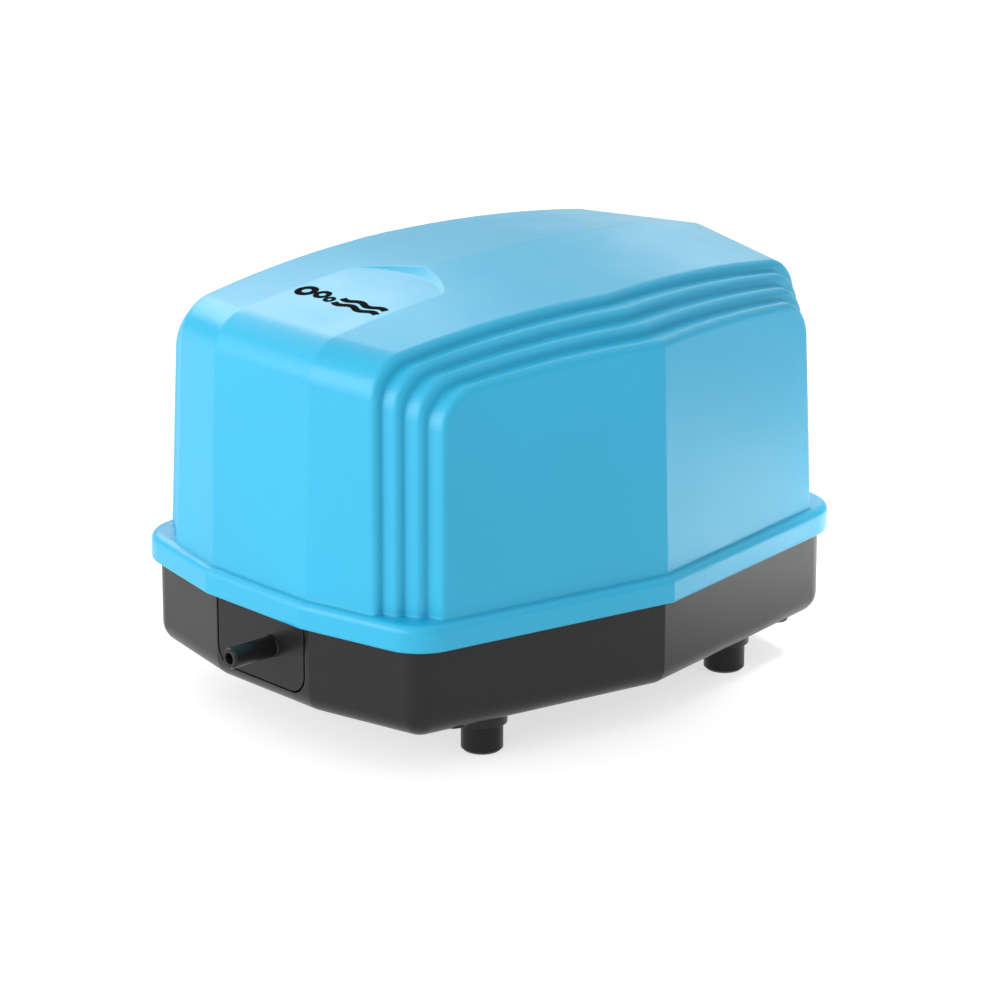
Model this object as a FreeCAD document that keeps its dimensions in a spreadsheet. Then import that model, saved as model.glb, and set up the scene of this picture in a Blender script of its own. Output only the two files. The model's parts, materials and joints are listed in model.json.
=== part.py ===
"""Air pump for ponds and aquariums: a linear diaphragm pump in a two-part plastic housing.

Millimetres. +X runs along the housing, away from the outlet nozzle, +Z is up and z = 0 is the
plane that the rubber feet stand on. Plan sizes are measured from the middle of the housing, and
every sub-part's Placement then moves it by CENTRE_SHIFT, so that x = 0 is the middle of the
whole pump with its nozzle.
"""
import FreeCAD, Part
import math
import os

VEC = FreeCAD.Vector

SIZES = {
    # plan outline of the skirt: bulging ends and sides, one end cut off by a flat facet
    "end_apex_x": 120.0,
    "corner_x": 103.9,
    "corner_y": 74.9,
    "side_apex_y": 94.1,
    "facet_half_y": 25.5,
    "skirt_corner_r": 17.7,
    # heights
    "foot_top_z": 12.5,
    "tray_bottom_z": 15.1,
    "skirt_bottom_z": 48.3,
    "skirt_top_z": 58.3,
    "ridge_z": 158.45,
    # cover
    "body_inset": 3.15,
    "cover_wall": 2.5,
    "skirt_wall": 2.0,
    "end_draft": 0.037,
    "side_draft": 0.032,
    "roof_slope": 0.08,
    "crown_r": 520.0,
    "crown_flat_x": 12.0,
    "level_edge_r": 2.6,
    "shoulder_r": 15.0,
    "strip_half_y": 24.3,
    "strip_end_x": 31.7,
    "strip_end_r": 56.9,
    "strip_ramp": 2.5,
    "terrace_end_step": 3.25,
    "terrace_side_step": 9.1,
    "terrace_top_z": 150.6,
    "terrace_drop": 3.8,
    "top_side_y": 63.5,
    "top_side_slope": 0.085,
    "terrace_slope_step": 0.0335,
    "post_x": 80.0,
    "post_y": 66.2,
    "post_r": 4.5,
    "cover_screw_r": 2.0,
    "screw_clear": 0.05,
    # tray
    "tray_inset": 4.3,
    "tray_corner_r": 9.0,
    "tray_wall": 2.5,
    "tray_floor": 3.0,
    "tray_rim_z": 54.8,
    "tray_edge_r": 8.5,
    "gasket_high": 1.0,
    "foot_x": 60.6,
    "foot_y": 60.1,
    "foot_r": 7.5,
    "foot_boss_r": 9.0,
    "foot_boss_z": 10.5,
    # outlet
    "plate_y": 0.8,
    "plate_half_y": 23.1,
    "plate_bottom_z": 22.0,
    "plate_corner_r": 7.0,
    "plate_gap": 0.8,
    "lip_wide": 3.0,
    "nozzle_y": -5.5,
    "nozzle_z": 35.9,
    "nozzle_r": 3.75,
    "nozzle_bore_r": 2.1,
    "nozzle_long": 19.5,
    # drive
    "axis_z": 98.0,
    "frame_half_x": 50.0,
    "frame_half_y": 40.0,
    "frame_wall": 6.0,
    "frame_floor_z": 50.0,
    "frame_floor": 4.0,
    "core_half_x": 38.0,
    "core_in_y": 12.0,
    "core_out_y": 38.0,
    "core_leg": 11.0,
    "core_half_z": 18.0,
    "coil_half_x": 20.0,
    "coil_half_z": 30.0,
    "rod_r": 4.0,
    "rod_half_x": 59.0,
    "carrier_half_x": 32.0,
    "carrier_half_y": 8.0,
    "carrier_half_z": 17.0,
    "magnet_half_y": 10.0,
    "magnet_long": 20.0,
    "magnet_x": 15.0,
    "magnet_half_z": 13.0,
    "diaphragm_r": 38.0,
    "diaphragm_thick": 2.5,
    "clamp_disc_r": 20.0,
    "chamber_r": 30.0,
    # valve heads
    "head_long": 13.5,
    "chamber_deep": 9.5,
    "head_half_y": 40.0,
    "head_half_z": 40.0,
    "valve_off_z": 18.0,
    "flap_r": 9.0,
    "flap_thick": 1.5,
    "flap_stem_r": 2.0,
    "cap_long": 17.0,
    "cap_half_y": 31.0,
    "cap_half_z": 31.0,
    "cap_wall": 3.0,
    "port_x": 75.0,
    "port_r": 6.0,
    "port_bore_r": 4.0,
    # air tank in the tray
    "tank_half_x": 88.0,
    "tank_half_y": 26.0,
    "tank_bottom_z": 19.0,
    "tank_top_z": 44.0,
    "tank_lid": 3.0,
    "tank_wall": 2.5,
    "mount_x": 55.0,
    "mount_y": 34.0,
    "mount_r": 7.0,
    "mount_high": 8.0,
    # intake and cord entry
    "intake_y": 57.0,
    "intake_half_x": 32.0,
    "intake_half_y": 15.0,
    "cord_y": 30.0,
    "cord_z": 33.0,
    "cord_r": 3.5,
    "cord_in_x": 105.1,
    "cord_out_x": 112.1,
    "terminal_y": -58.0,
    "small_screw_r": 1.75,
    "slot_pitch": 9.0,
}

doc = FreeCAD.newDocument("AirPump")
sheet = doc.addObject("Spreadsheet::Sheet", "P")
for row, (alias, value) in enumerate(SIZES.items(), start=1):
    sheet.set("A%d" % row, alias)
    sheet.set("B%d" % row, str(value))
    sheet.setAlias("B%d" % row, alias)
doc.recompute()


class Named:
    """The driving sizes as numbers, for outlines that are worked out here."""


V = Named()
V.__dict__.update(SIZES)

parts = {}


# ---------------------------------------------------------------- building blocks

def place(obj, base, turn=None):
    """Put an object at base, three expressions, with an optional rotation."""
    if turn is not None:
        obj.Placement = FreeCAD.Placement(VEC(0, 0, 0), turn)
    for letter, expression in zip("xyz", base):
        obj.setExpression(".Placement.Base." + letter, str(expression))


def box(name, x, y, z):
    """A block from three (low, high) pairs of expressions."""
    obj = doc.addObject("Part::Box", name)
    for prop, (low, high) in zip(("Length", "Width", "Height"), (x, y, z)):
        obj.setExpression(prop, "(%s) - (%s)" % (high, low))
    place(obj, (x[0], y[0], z[0]))
    return obj


TURNS = {
    "X": FreeCAD.Rotation(VEC(0, 1, 0), 90),
    "Y": FreeCAD.Rotation(VEC(1, 0, 0), -90),
    "Z": FreeCAD.Rotation(),
}


def cyl(name, radius, axis, span, at):
    """A cylinder along X, Y or Z over span, with its other two coordinates in at."""
    obj = doc.addObject("Part::Cylinder", name)
    obj.setExpression("Radius", str(radius))
    obj.setExpression("Height", "(%s) - (%s)" % (span[1], span[0]))
    base = list(at)
    base.insert("XYZ".index(axis), span[0])
    place(obj, base, TURNS[axis])
    return obj


def cone(name, radii, axis, span, at):
    """A cone frustum along an axis, its radii at the start and the end of span."""
    obj = doc.addObject("Part::Cone", name)
    obj.setExpression("Radius1", str(radii[0]))
    obj.setExpression("Radius2", str(radii[1]))
    obj.setExpression("Height", "(%s) - (%s)" % (span[1], span[0]))
    base = list(at)
    base.insert("XYZ".index(axis), span[0])
    place(obj, base, TURNS[axis])
    return obj


def fuse(name, *shapes):
    obj = doc.addObject("Part::MultiFuse", name)
    obj.Shapes = list(shapes)
    return obj


def common(name, *shapes):
    obj = doc.addObject("Part::MultiCommon", name)
    obj.Shapes = list(shapes)
    return obj


def cut(name, base, *tools):
    obj = doc.addObject("Part::Cut", name)
    obj.Base = base
    obj.Tool = tools[0] if len(tools) == 1 else fuse(name + "_tools", *tools)
    return obj


def group(name, *shapes):
    obj = doc.addObject("Part::Compound", name)
    obj.Links = list(shapes)
    return obj


def node(label, obj):
    """Keep an object as the sub-part of that name."""
    parts[label] = obj


def sketch(name, edges, plane="XY", level=0):
    """A closed outline from a list of ("line", a, b) and ("arc", a, middle, b)."""
    obj = doc.addObject("Sketcher::SketchObject", name)
    for kind, *points in edges:
        ends = [VEC(p[0], p[1], 0) for p in points]
        if kind == "line":
            obj.addGeometry(Part.LineSegment(*ends))
        else:
            obj.addGeometry(Part.ArcOfCircle(*ends))
    if plane == "XZ":
        obj.Placement = FreeCAD.Placement(VEC(0, 0, 0), FreeCAD.Rotation(VEC(1, 0, 0), 90))
    else:
        obj.setExpression(".Placement.Base.z", str(level))
    return obj


def extrude(name, outline, direction, forward, back=0):
    obj = doc.addObject("Part::Extrusion", name)
    obj.Base = outline
    obj.DirMode = "Custom"
    obj.Dir = VEC(*direction)
    obj.setExpression("LengthFwd", str(forward))
    obj.setExpression("LengthRev", str(back))
    obj.Solid = True
    return obj


def closed(points):
    """Straight edges round a list of points."""
    return [("line", a, b) for a, b in zip(points, points[1:] + points[:1])]


def rounded(points, radii):
    """Edges round a polygon whose corners have the given radii, 0 for a sharp one."""
    count = len(points)
    stops = []
    for i in range(count):
        here = VEC(*points[i], 0)
        to_last = (VEC(*points[i - 1], 0) - here).normalize()
        to_next = (VEC(*points[(i + 1) % count], 0) - here).normalize()
        half = to_last.getAngle(to_next) / 2
        back = radii[i] / math.tan(half)
        inward = (to_last + to_next).normalize()
        reach = radii[i] / math.sin(half) - radii[i]
        stops.append((here + to_last * back, here + inward * reach, here + to_next * back))
    edges = []
    for i in range(count):
        start, middle, end = stops[i]
        if radii[i] > 0:
            edges.append(("arc", start, middle, end))
        edges.append(("line", end, stops[(i + 1) % count][0]))
    return edges


def inset_polygon(points, distance):
    """Move every side of a convex polygon, given anticlockwise, inwards by distance."""
    count = len(points)
    sides = []
    for i in range(count):
        a, b = VEC(*points[i], 0), VEC(*points[(i + 1) % count], 0)
        run = (b - a).normalize()
        inward = VEC(-run.y, run.x, 0)
        sides.append((inward, inward.dot(a) + distance))
    moved = []
    for i in range(count):
        (n1, c1), (n2, c2) = sides[i - 1], sides[i]
        det = n1.x * n2.y - n1.y * n2.x
        moved.append(((c1 * n2.y - c2 * n1.y) / det, (n1.x * c2 - n2.x * c1) / det))
    return moved


END_SLOPE = (V.end_apex_x - V.corner_x) / V.corner_y
FACET_X = V.end_apex_x - END_SLOPE * V.facet_half_y
PLAN = [
    (-FACET_X, V.facet_half_y),
    (-FACET_X, -V.facet_half_y),
    (-V.corner_x, -V.corner_y),
    (0.0, -V.side_apex_y),
    (V.corner_x, -V.corner_y),
    (V.end_apex_x, 0.0),
    (V.corner_x, V.corner_y),
    (0.0, V.side_apex_y),
    (-V.corner_x, V.corner_y),
]
CORNERS = (2, 4, 6, 8)


def plan_sketch(name, inset, corner_r, level):
    """The housing's plan outline, inset from the skirt, with its four corners rounded."""
    radii = [corner_r if i in CORNERS else 0 for i in range(len(PLAN))]
    return sketch(name, rounded(inset_polygon(PLAN, inset), radii), level=level)


def edges_at(obj, height):
    """Numbers of the edges that lie flat at a height."""
    doc.recompute()
    found = []
    for number, edge in enumerate(obj.Shape.Edges, start=1):
        bounds = edge.BoundBox
        if abs(bounds.ZMin - height) < 0.01 and abs(bounds.ZMax - height) < 0.01:
            found.append(number)
    return found


def fillet(name, base, numbers, radius):
    obj = doc.addObject("Part::Fillet", name)
    obj.Base = base
    obj.Edges = [(number, radius, radius) for number in numbers]
    return obj


# ---------------------------------------------------------------- top cover

LOW_Z = 50.0
HIGH_Z = 175.0
REACH = 150.0
SPAN = 130.0
BODY_END_X = V.end_apex_x - V.body_inset * math.hypot(1, END_SLOPE)


def crown_points(top_z, inset):
    """The arc's start, middle and end of the crown in the plane y = 0, on its +X half."""
    radius = V.crown_r - inset
    centre = VEC(V.crown_flat_x, top_z - V.crown_r, 0)
    start = centre + VEC(0, radius, 0)
    points = []
    for share in (0.5, 1.0):
        angle = share * math.asin((REACH - V.crown_flat_x) / radius)
        points.append(centre + VEC(radius * math.sin(angle), radius * math.cos(angle), 0))
    return [start] + points


def end_block(name, wall_x, inset):
    """A block from x = 0 to the drafted, bulging end wall on the +X, -Y side."""
    low = VEC(wall_x - inset + V.end_draft * (V.skirt_top_z - LOW_Z), LOW_Z, 0)
    high = VEC(wall_x - inset - V.end_draft * (HIGH_Z - V.skirt_top_z), HIGH_Z, 0)
    outline = sketch(name + "_outline", closed([VEC(0, LOW_Z, 0), low, high, VEC(0, HIGH_Z, 0)]),
                     "XZ")
    return extrude(name, outline, (-END_SLOPE, -1, 0), SPAN)


def crown_block(name, top_z, fall, inset):
    """A block under the crown, from x = 0 outwards; the crown falls towards -Y."""
    start, middle, end = crown_points(top_z, inset)
    low_end = VEC(end.x, LOW_Z - 20, 0)
    low_start = VEC(0, LOW_Z - 20, 0)
    flat_start = VEC(0, start.y, 0)
    edges = [
        ("line", low_start, low_end),
        ("line", low_end, end),
        ("arc", end, middle, start),
        ("line", start, flat_start),
        ("line", flat_start, low_start),
    ]
    return extrude(name, sketch(name + "_outline", edges, "XZ"), (0, -1, -fall), SPAN)


def round_shoulder(name, block, radius):
    """Round the long edge between the end wall and the crown."""
    doc.recompute()
    numbers = []
    for number, edge in enumerate(block.Shape.Edges, start=1):
        bounds = edge.BoundBox
        if bounds.XMin > 60 and bounds.ZMin > 110 and bounds.YLength > 100:
            numbers.append(number)
    return fillet(name, block, numbers, radius)


def round_side_edges(name, level, wall, radius):
    """Round the edges between a terrace's side wall and its end wall, shoulder and crown."""
    slope, reach = wall
    normal = VEC(slope, -1, V.side_draft)
    offset = reach + V.side_draft * V.skirt_top_z
    doc.recompute()
    numbers = []
    for number, edge in enumerate(level.Shape.Edges, start=1):
        points = edge.discretize(Number=5)
        bounds = edge.BoundBox
        on_wall = all(abs(normal.dot(point) - offset) < 0.01 for point in points)
        if on_wall and bounds.XMax > 0.01 and bounds.ZMax > LOW_Z + 0.01:
            numbers.append(number)
    return fillet(name, level, numbers, radius)


def strip_profile(wall_x, top_z, inset):
    """The strip's side profile at its +X end: a drafted wall, a round and a crown.

    Returns the wall's foot, the ends and middle of the round, the middle of the crown's arc and
    the crown's start on the flat top.
    """
    radius = V.shoulder_r - inset
    crown_r = V.crown_r - inset
    crown_centre = VEC(V.crown_flat_x, top_z - V.crown_r, 0)
    foot = VEC(wall_x - inset, V.skirt_top_z, 0)
    up = VEC(-V.end_draft, 1, 0).normalize()
    inward = VEC(-up.y, up.x, 0)
    start = foot + inward * radius - crown_centre
    reach = crown_r - radius
    rise = -start.dot(up) + math.sqrt(start.dot(up) ** 2 - start.dot(start) + reach ** 2)
    round_centre = foot + inward * radius + up * rise
    outward = (round_centre - crown_centre).normalize()
    low = foot - up * ((V.skirt_top_z - LOW_Z) / up.y)
    wall_top = foot + up * rise
    round_middle = round_centre + (outward - inward).normalize() * radius
    roof_start = crown_centre + outward * crown_r
    crown_middle = crown_centre + (outward + VEC(0, 1, 0)).normalize() * crown_r
    crown_top = crown_centre + VEC(0, crown_r, 0)
    return low, wall_top, round_middle, roof_start, crown_middle, crown_top


def side_wall(level, inset):
    """A terrace's side wall: its slope in plan and its distance from y = 0 at x = 0."""
    slope = V.top_side_slope + V.terrace_slope_step * level
    return slope, V.top_side_y + V.terrace_side_step * level - inset


def quarter_side(name, level, inset):
    """The +X, -Y quarter behind terrace number level's drafted and bulging side wall."""
    slope, reach = side_wall(level, inset)
    sections = []
    for tag, height in (("low", LOW_Z), ("high", HIGH_Z)):
        half = reach - V.side_draft * (height - V.skirt_top_z)
        points = [(0, 0), (0, -half), (REACH, slope * REACH - half), (REACH, 0)]
        sections.append(sketch("%s_%s" % (name, tag), closed(points), level=height))
    loft = doc.addObject("Part::Loft", name)
    loft.Sections = sections
    loft.Solid = True
    loft.Ruled = True
    return loft


def mirror(name, source, normal):
    obj = doc.addObject("Part::Mirroring", name)
    obj.Source = source
    obj.Normal = VEC(*normal)
    return obj


def strip_tool(name, inset):
    """What the flat strip takes off the nozzle end and the roof's ridge.

    Its +X end is part of a cone, so that the strip ramps up to the roof there.
    """
    wall_x = BODY_END_X - END_SLOPE * V.facet_half_y
    top_z = V.ridge_z - V.roof_slope * V.strip_half_y
    points = strip_profile(wall_x, top_z, inset)
    low, wall_top, round_middle, roof_start, crown_middle, crown_top = [
        VEC(-p.x, p.y, 0) for p in points]
    flat_end = VEC(0, crown_top.y, 0)
    high = VEC(0, HIGH_Z, 0)
    far_high = VEC(-REACH, HIGH_Z, 0)
    far_low = VEC(-REACH, LOW_Z, 0)
    edges = [
        ("line", low, wall_top),
        ("arc", wall_top, round_middle, roof_start),
        ("arc", roof_start, crown_middle, crown_top),
        ("line", crown_top, flat_end),
        ("line", flat_end, high),
        ("line", high, far_high),
        ("line", far_high, far_low),
        ("line", far_low, low),
    ]
    end_r = V.strip_end_r
    slab = extrude(name + "_slab", sketch(name + "_outline", edges, "XZ"), (0, 1, 0),
                   end_r, end_r)
    run_out = V.strip_ramp
    centre_x = inset * math.hypot(1, run_out) - V.strip_end_x - end_r
    run = box(name + "_run", (-REACH, centre_x), (-end_r, end_r), (LOW_Z, HIGH_Z))
    ramp = cone(name + "_ramp", (end_r - 20 * run_out, end_r + 10 * run_out), "Z",
                (V.ridge_z - 20, V.ridge_z + 10), (centre_x, 0))
    return common(name, slab, fuse(name + "_tongue", run, ramp))


def cover_form(name, inset, edge_r):
    """The cover's solid form above its skirt, all faces moved inwards by inset."""
    levels = []
    for level in range(4):
        if level == 0:
            top_z, fall = V.ridge_z, V.roof_slope
        else:
            top_z, fall = V.terrace_top_z - V.terrace_drop * (level - 1), 0.0
        wall_x = BODY_END_X - V.terrace_end_step * level
        tag = "%s_%d" % (name, level)
        block = common(tag + "_block", end_block(tag + "_end", wall_x, inset),
                       crown_block(tag + "_crown", top_z, fall, inset))
        rounded_block = round_shoulder(tag + "_round", block, V.shoulder_r - inset)
        shape = common(tag, rounded_block, quarter_side(tag + "_side", level, inset))
        if edge_r > 0:
            shape = round_side_edges(tag + "_soft", shape, side_wall(level, inset), edge_r)
        levels.append(shape)
    quarter = fuse(name + "_quarter", *levels)
    half = fuse(name + "_half", quarter, mirror(name + "_other_quarter", quarter, (1, 0, 0)))
    whole = fuse(name + "_whole", half, mirror(name + "_other_half", half, (0, 1, 0)))
    return cut(name, whole, strip_tool(name + "_strip", inset))


def four(x, y):
    """The four places that mirror one another in X and Y, as expressions."""
    return [("%s * (%s)" % (sx, x), "%s * (%s)" % (sy, y)) for sx in (-1, 1) for sy in (-1, 1)]


def build_cover():
    outer = cover_form("cover_outer", 0.0, V.level_edge_r)
    skirt_block = extrude("skirt_block", plan_sketch("skirt_plan", 0.0, V.skirt_corner_r,
                                                     "P.skirt_bottom_z"),
                          (0, 0, 1), "P.skirt_top_z - P.skirt_bottom_z")
    top_edges = edges_at(skirt_block, V.skirt_top_z)
    skirt_top = fillet("skirt_top_round", skirt_block, top_edges, 3.0)
    bottom_edges = edges_at(skirt_top, V.skirt_bottom_z)
    skirt = fillet("skirt_round", skirt_top, bottom_edges, 0.8)
    form = fuse("cover_form", outer, skirt)
    inner = cover_form("cover_inner", V.cover_wall, 0.0)
    skirt_space = extrude("skirt_space",
                          plan_sketch("skirt_space_plan", V.skirt_wall,
                                      V.skirt_corner_r - V.skirt_wall, "P.skirt_bottom_z - 1"),
                          (0, 0, 1), "P.tray_rim_z + P.gasket_high - P.skirt_bottom_z + 1")
    shell = cut("cover_shell", form, inner, skirt_space)
    posts = [cyl("cover_post_%d" % i, "P.post_r", "Z", ("P.tray_rim_z + 0.2", "P.ridge_z"), at)
             for i, at in enumerate(four("P.post_x", "P.post_y"))]
    held = common("cover_posts", fuse("cover_post_set", *posts), outer)
    bores = [cyl("cover_bore_%d" % i, "P.cover_screw_r + P.screw_clear", "Z",
                 ("P.tray_rim_z - 1", "P.tray_rim_z + 22"), at)
             for i, at in enumerate(four("P.post_x", "P.post_y"))]
    node("top_cover", cut("top_cover_shape", fuse("cover_with_posts", shell, held), *bores))


# ---------------------------------------------------------------- tray, feet and screws

def yz_sketch(name, edges, at_x):
    """A closed outline of (y, z) points, standing across X at at_x."""
    obj = sketch(name, edges)
    obj.Placement = FreeCAD.Placement(VEC(0, 0, 0), FreeCAD.Rotation(VEC(1, 1, 1), 120))
    obj.setExpression(".Placement.Base.x", str(at_x))
    return obj


def plate_outline(gap):
    """The outlet plate's U shape, grown by gap."""
    left = V.plate_y - V.plate_half_y - gap
    right = V.plate_y + V.plate_half_y + gap
    low = V.plate_bottom_z - gap
    high = V.tray_rim_z + (HIGH_Z if gap > 0 else 0)
    points = [(left, high), (left, low), (right, low), (right, high)]
    corner = V.plate_corner_r + gap
    return rounded(points, [0, corner, corner, 0])


def build_tray():
    block = extrude("tray_block", plan_sketch("tray_plan", V.tray_inset, V.tray_corner_r,
                                              "P.tray_bottom_z"),
                    (0, 0, 1), "P.tray_rim_z - P.tray_bottom_z")
    outside = fillet("tray_outside", block, edges_at(block, V.tray_bottom_z), V.tray_edge_r)
    floor_z = V.tray_bottom_z + V.tray_floor
    space = extrude("tray_space", plan_sketch("tray_space_plan", V.tray_inset + V.tray_wall,
                                              V.tray_corner_r - V.tray_wall, FLOOR),
                    (0, 0, 1), "P.tray_rim_z - P.tray_bottom_z")
    inside = fillet("tray_inside", space, edges_at(space, floor_z), V.tray_edge_r - V.tray_wall)
    adds = []
    cuts = []
    for i, at in enumerate(four("P.post_x", "P.post_y")):
        adds.append(cyl("tray_post_%d" % i, "P.post_r + 1", "Z", (IN_FLOOR, "P.tray_rim_z"), at))
        cuts.append(cyl("tray_bore_%d" % i, "P.cover_screw_r + P.screw_clear", "Z",
                        ("P.tray_bottom_z - 1", "P.tray_rim_z + 1"), at))
        cuts.append(cyl("tray_sink_%d" % i, "P.post_r - 0.5", "Z",
                        ("P.tray_bottom_z - 1", "P.tray_bottom_z + 5"), at))
    for i, at in enumerate(four("P.foot_x", "P.foot_y")):
        adds.append(cyl("foot_boss_%d" % i, "P.foot_boss_r", "Z",
                        ("P.foot_boss_z", FLOOR + " + 6"), at))
        cuts.append(cyl("foot_seat_%d" % i, "P.foot_r + 0.1", "Z",
                        ("P.foot_boss_z - 1", "P.foot_top_z"), at))
        cuts.append(cyl("foot_bore_%d" % i, "P.small_screw_r + P.screw_clear", "Z",
                        ("P.foot_boss_z", FLOOR + " + 5"), at))
    for i, at in enumerate(four("P.mount_x", "P.mount_y")):
        adds.append(cyl("mount_post_%d" % i, "P.mount_r", "Z", (IN_FLOOR, MOUNT_LOW), at))
        cuts.append(cyl("mount_bore_%d" % i, "P.small_screw_r + P.screw_clear", "Z",
                        (MOUNT_LOW + " - 12", MOUNT_LOW + " + 1"), at))
    adds.append(cyl("cord_boss", "P.cord_r + 6", "X", ("P.cord_in_x", "P.cord_out_x"),
                    ("P.cord_y", "P.cord_z")))
    cuts.append(cyl("cord_hole", "P.cord_r + 2", "X", ("P.cord_in_x - 1", "P.cord_out_x + 1"),
                    ("P.cord_y", "P.cord_z")))
    cuts.append(extrude("plate_notch", yz_sketch("notch_outline", plate_outline(V.plate_gap),
                                                 "-P.end_apex_x"),
                        (1, 0, 0), "16"))
    slots = []
    for i in range(-3, 4):
        middle = "%g * P.slot_pitch" % i
        slots.append(box("floor_slot_%d" % (i + 3),
                         (middle + " - 2", middle + " + 2"),
                         ("P.intake_y - P.intake_half_y + 5", "P.intake_y + P.intake_half_y - 5"),
                         ("P.tray_bottom_z - 1", FLOOR + " + 1")))
    cuts.extend(slots)
    cuts.append(box("foam_seat", ("-P.intake_half_x", "P.intake_half_x"),
                    ("P.intake_y - P.intake_half_y", "P.intake_y + P.intake_half_y"),
                    ("P.tray_bottom_z - 1", "P.tray_bottom_z + 1.5")))
    for side in (-1, 1):
        cuts.append(cyl("grille_hole_%s" % "np"[side > 0], "P.small_screw_r + P.screw_clear",
                        "Z", ("P.tray_bottom_z - 1", FLOOR + " + 1"),
                        ("%d * (P.intake_half_x + 4)" % side, "P.intake_y")))
    shell = cut("tray_shell", outside, inside)
    node("base_tray", cut("base_tray_shape", fuse("tray_body", shell, *adds), *cuts))

    ring = extrude("gasket_block", plan_sketch("gasket_plan", V.tray_inset + 0.2,
                                               V.tray_corner_r, "P.tray_rim_z"),
                   (0, 0, 1), "P.gasket_high")
    hollow = extrude("gasket_space", plan_sketch("gasket_space_plan",
                                                 V.tray_inset + V.tray_wall - 0.2,
                                                 V.tray_corner_r - V.tray_wall,
                                                 "P.tray_rim_z - 1"),
                     (0, 0, 1), "P.gasket_high + 2")
    node("cover_gasket", cut("cover_gasket_shape", ring, hollow))

    screws = [cover_screw(i, at) for i, at in enumerate(four("P.post_x", "P.post_y"))]
    node("cover_screws", group("cover_screw_set", *screws))


FLOOR = "P.tray_bottom_z + P.tray_floor"
IN_FLOOR = "P.tray_bottom_z + 1"
MOUNT_LOW = "P.frame_floor_z - P.mount_high"


def screw(name, at, axis, head, shank, head_r, shank_r="P.small_screw_r"):
    """A screw along an axis, its head and its shank each over a (low, high) span."""
    return fuse(name, cyl(name + "_head", head_r, axis, head, at),
                cyl(name + "_shank", shank_r, axis, shank, at))


def cover_screw(number, at):
    return screw("cover_screw_%d" % number, at, "Z",
                 ("P.tray_bottom_z + 1.8", "P.tray_bottom_z + 5"),
                 ("P.tray_bottom_z + 5", "P.tray_rim_z + 20"), "P.post_r - 1", "P.cover_screw_r")


def build_feet():
    names = {(-1, -1): "foot_1", (-1, 1): "foot_2", (1, -1): "foot_3", (1, 1): "foot_4"}
    screws = []
    for (sx, sy), name in names.items():
        at = ("%d * P.foot_x" % sx, "%d * P.foot_y" % sy)
        pad = fuse(name + "_body",
                   cone(name + "_heel", ("P.foot_r - 1", "P.foot_r"), "Z", ("0", "1"), at),
                   cyl(name + "_stem", "P.foot_r", "Z", ("1", "P.foot_top_z"), at))
        node(name, cut(name + "_shape", pad,
                       cyl(name + "_sink", "4", "Z", ("-1", "5"), at),
                       cyl(name + "_bore", "P.small_screw_r + P.screw_clear", "Z",
                           ("4", "P.foot_top_z + 1"), at)))
        screws.append(screw(name + "_screw", at, "Z", ("2.6", "5"), ("5", FLOOR + " + 3"), "3.5"))
    node("foot_screws", group("foot_screw_set", *screws))


def build_intake():
    seat = ("P.tray_bottom_z - 2", "P.tray_bottom_z")
    plate = box("grille_plate", ("-P.intake_half_x - 8", "P.intake_half_x + 8"),
                ("P.intake_y - P.intake_half_y - 2", "P.intake_y + P.intake_half_y + 2"), seat)
    cuts = []
    for i in range(-4, 5):
        middle = "%g * P.slot_pitch * 0.75" % i
        cuts.append(box("grille_slot_%d" % (i + 4), (middle + " - 1.4", middle + " + 1.4"),
                        ("P.intake_y - P.intake_half_y + 3", "P.intake_y + P.intake_half_y - 3"),
                        ("P.tray_bottom_z - 3", "P.tray_bottom_z + 1")))
    screws = []
    for side in (-1, 1):
        at = ("%d * (P.intake_half_x + 4)" % side, "P.intake_y")
        tag = "np"[side > 0]
        cuts.append(cyl("grille_bore_" + tag, "P.small_screw_r + P.screw_clear", "Z",
                        ("P.tray_bottom_z - 3", "P.tray_bottom_z + 1"), at))
        screws.append(screw("grille_screw_" + tag, at, "Z",
                            ("P.tray_bottom_z - 3.8", "P.tray_bottom_z - 2"),
                            ("P.tray_bottom_z - 2", "P.tray_bottom_z + 6"), "3"))
    node("intake_grille", cut("intake_grille_shape", plate, *cuts))
    node("grille_screws", group("grille_screw_set", *screws))
    node("intake_foam", box("intake_foam_pad",
                            ("-P.intake_half_x + 0.3", "P.intake_half_x - 0.3"),
                            ("P.intake_y - P.intake_half_y + 0.3",
                             "P.intake_y + P.intake_half_y - 0.3"),
                            ("P.tray_bottom_z", "P.tray_bottom_z + 1.4")))


# ---------------------------------------------------------------- outlet and air tank

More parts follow.
